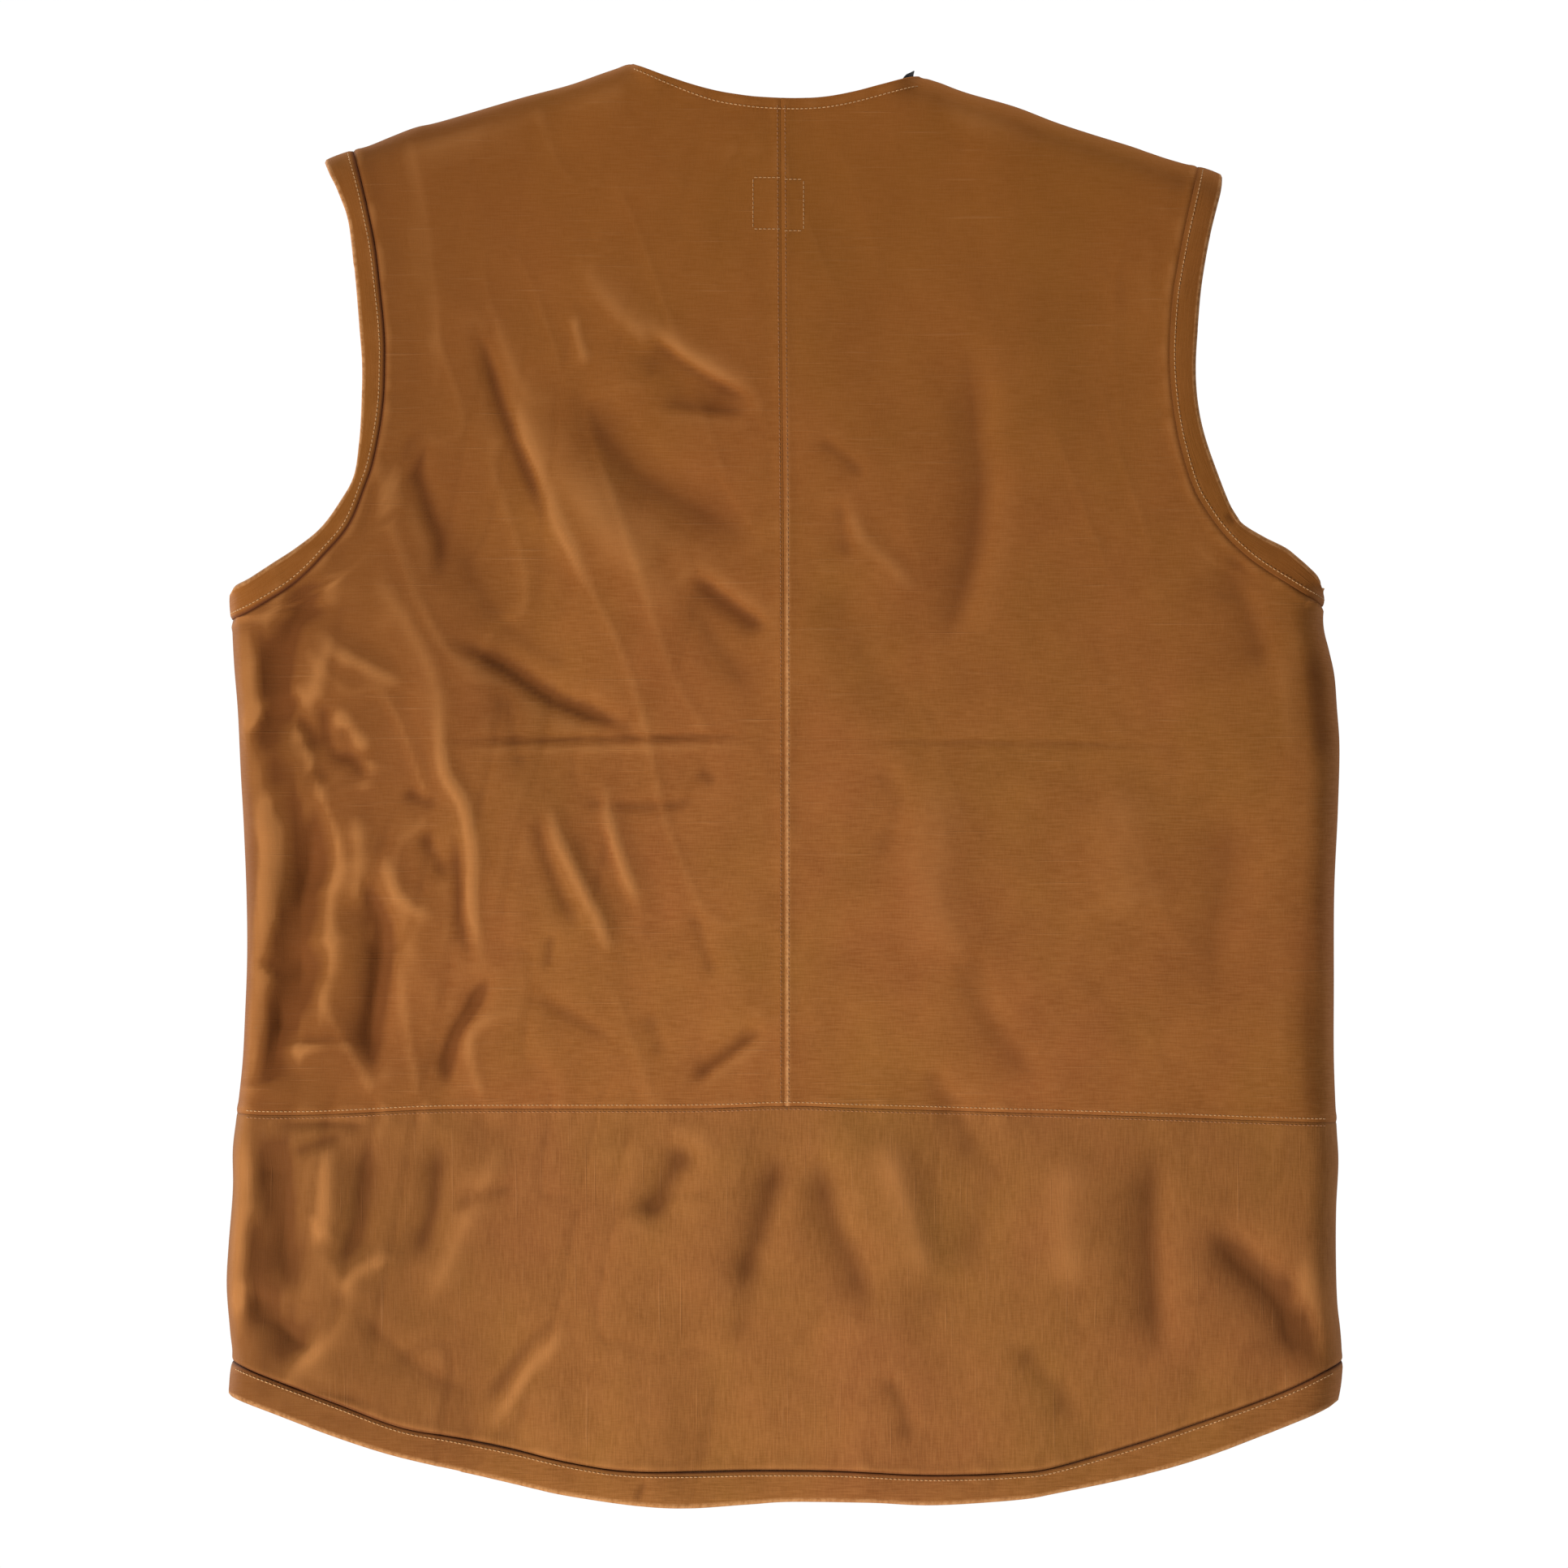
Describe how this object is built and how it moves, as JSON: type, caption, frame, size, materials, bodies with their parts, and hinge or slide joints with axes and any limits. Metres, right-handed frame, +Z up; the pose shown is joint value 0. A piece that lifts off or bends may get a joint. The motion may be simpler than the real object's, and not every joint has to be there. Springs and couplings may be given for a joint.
{
  "type": "fishing vest",
  "caption": "Sleeveless canvas fishing vest with a curved drop-tail back, banded armholes and hem, an open V front with a zipper, flapped bellows pockets and a neck hanger loop.",
  "frame": {"origin": "middle of the neck opening, level with the lowest point of the back neckline, midway between back and front", "axes": "+Z up as the vest hangs, the wearer faces +Y so the back panels face -Y, +X is the wearer's right"},
  "size_m": [0.6179, 0.1013, 0.7971],
  "materials": {
    "canvas": "matte brown duck canvas, ribbed weave",
    "canvas_band": "the same canvas folded into a band",
    "facing": "matte canvas facing",
    "dark_tape": "black herringbone tape",
    "label": "blank woven label",
    "zipper_tape": "dark brown woven tape",
    "brass": "antique brass",
    "snap_metal": "dulled nickel"
  },
  "bodies": {
    "shell": {"back_panel_left": "canvas", "back_panel_right": "canvas", "tail_panel": "canvas", "hem_band_back": "canvas_band", "front_side_left": "canvas", "front_side_right": "canvas", "armhole_band_left": "canvas_band", "armhole_band_right": "canvas_band", "neck_facing": "facing", "neck_tape": "dark_tape", "neck_label": "label", "hanger_loop": "dark_tape"},
    "left_front": {"front_panel_left": "canvas", "hem_band_front_left": "canvas_band", "front_facing_left": "facing", "zipper_tape_left": "zipper_tape", "zipper_chain_left": "brass", "zipper_stop_left": "brass", "chest_pocket_left": "canvas", "lower_pocket_left": "canvas", "chest_snap_stud_left": "snap_metal", "lower_snap_stud_left_a": "snap_metal", "lower_snap_stud_left_b": "snap_metal", "zipper_pin": "brass"},
    "right_front": {"front_panel_right": "canvas", "hem_band_front_right": "canvas_band", "front_facing_right": "facing", "zipper_tape_right": "zipper_tape", "zipper_chain_right": "brass", "zipper_stop_right": "brass", "chest_pocket_right": "canvas", "lower_pocket_right": "canvas", "chest_snap_stud_right": "snap_metal", "lower_snap_stud_right_a": "snap_metal", "lower_snap_stud_right_b": "snap_metal", "zipper_box": "brass", "d_ring_tab": "canvas_band"},
    "left_chest_flap": {"chest_flap_left": "canvas", "chest_snap_cap_left": "snap_metal"},
    "left_lower_flap": {"lower_flap_left": "canvas", "lower_snap_cap_left_a": "snap_metal", "lower_snap_cap_left_b": "snap_metal"},
    "right_chest_flap": {"chest_flap_right": "canvas", "chest_snap_cap_right": "snap_metal"},
    "right_lower_flap": {"lower_flap_right": "canvas", "lower_snap_cap_right_a": "snap_metal", "lower_snap_cap_right_b": "snap_metal"},
    "slider": {"zipper_slider": "brass"},
    "pull": {"zipper_pull": "brass"},
    "ring": {"d_ring": "brass"}
  },
  "joints": [
    {"name": "left_front_fold", "type": "hinge", "parent": "shell", "child": "left_front", "pos_m": [-0.06836, 0.03425, -0.02178], "axis": [0.269, 0, 0.9631], "range_deg": [0, 88]},
    {"name": "right_front_fold", "type": "hinge", "parent": "shell", "child": "right_front", "pos_m": [0.06113, 0.03425, -0.03003], "axis": [0.2814, 0, -0.9596], "range_deg": [0, 88]},
    {"name": "left_chest_flap_lift", "type": "hinge", "parent": "left_front", "child": "left_chest_flap", "pos_m": [-0.064, 0.0363, -0.2205], "axis": [1, 0, 0], "range_deg": [0, 110]},
    {"name": "left_lower_flap_lift", "type": "hinge", "parent": "left_front", "child": "left_lower_flap", "pos_m": [-0.09, 0.0363, -0.404], "axis": [1, 0, 0], "range_deg": [0, 110]},
    {"name": "right_chest_flap_lift", "type": "hinge", "parent": "right_front", "child": "right_chest_flap", "pos_m": [0.064, 0.0363, -0.2205], "axis": [1, 0, 0], "range_deg": [0, 110]},
    {"name": "right_lower_flap_lift", "type": "hinge", "parent": "right_front", "child": "right_lower_flap", "pos_m": [0.09, 0.0363, -0.404], "axis": [1, 0, 0], "range_deg": [0, 110]},
    {"name": "zipper_slide", "type": "slide", "parent": "right_front", "child": "slider", "axis": [0, 0, 1], "range_m": [0, 0.467]},
    {"name": "pull_swing", "type": "hinge", "parent": "slider", "child": "pull", "pos_m": [0.004, 0.0366, -0.6793], "axis": [1, 0, 0], "range_deg": [0, 150]},
    {"name": "ring_swing", "type": "hinge", "parent": "right_front", "child": "ring", "pos_m": [0.07, 0.0392, -0.171], "axis": [1, 0, 0], "range_deg": [0, 150]}
  ]
}
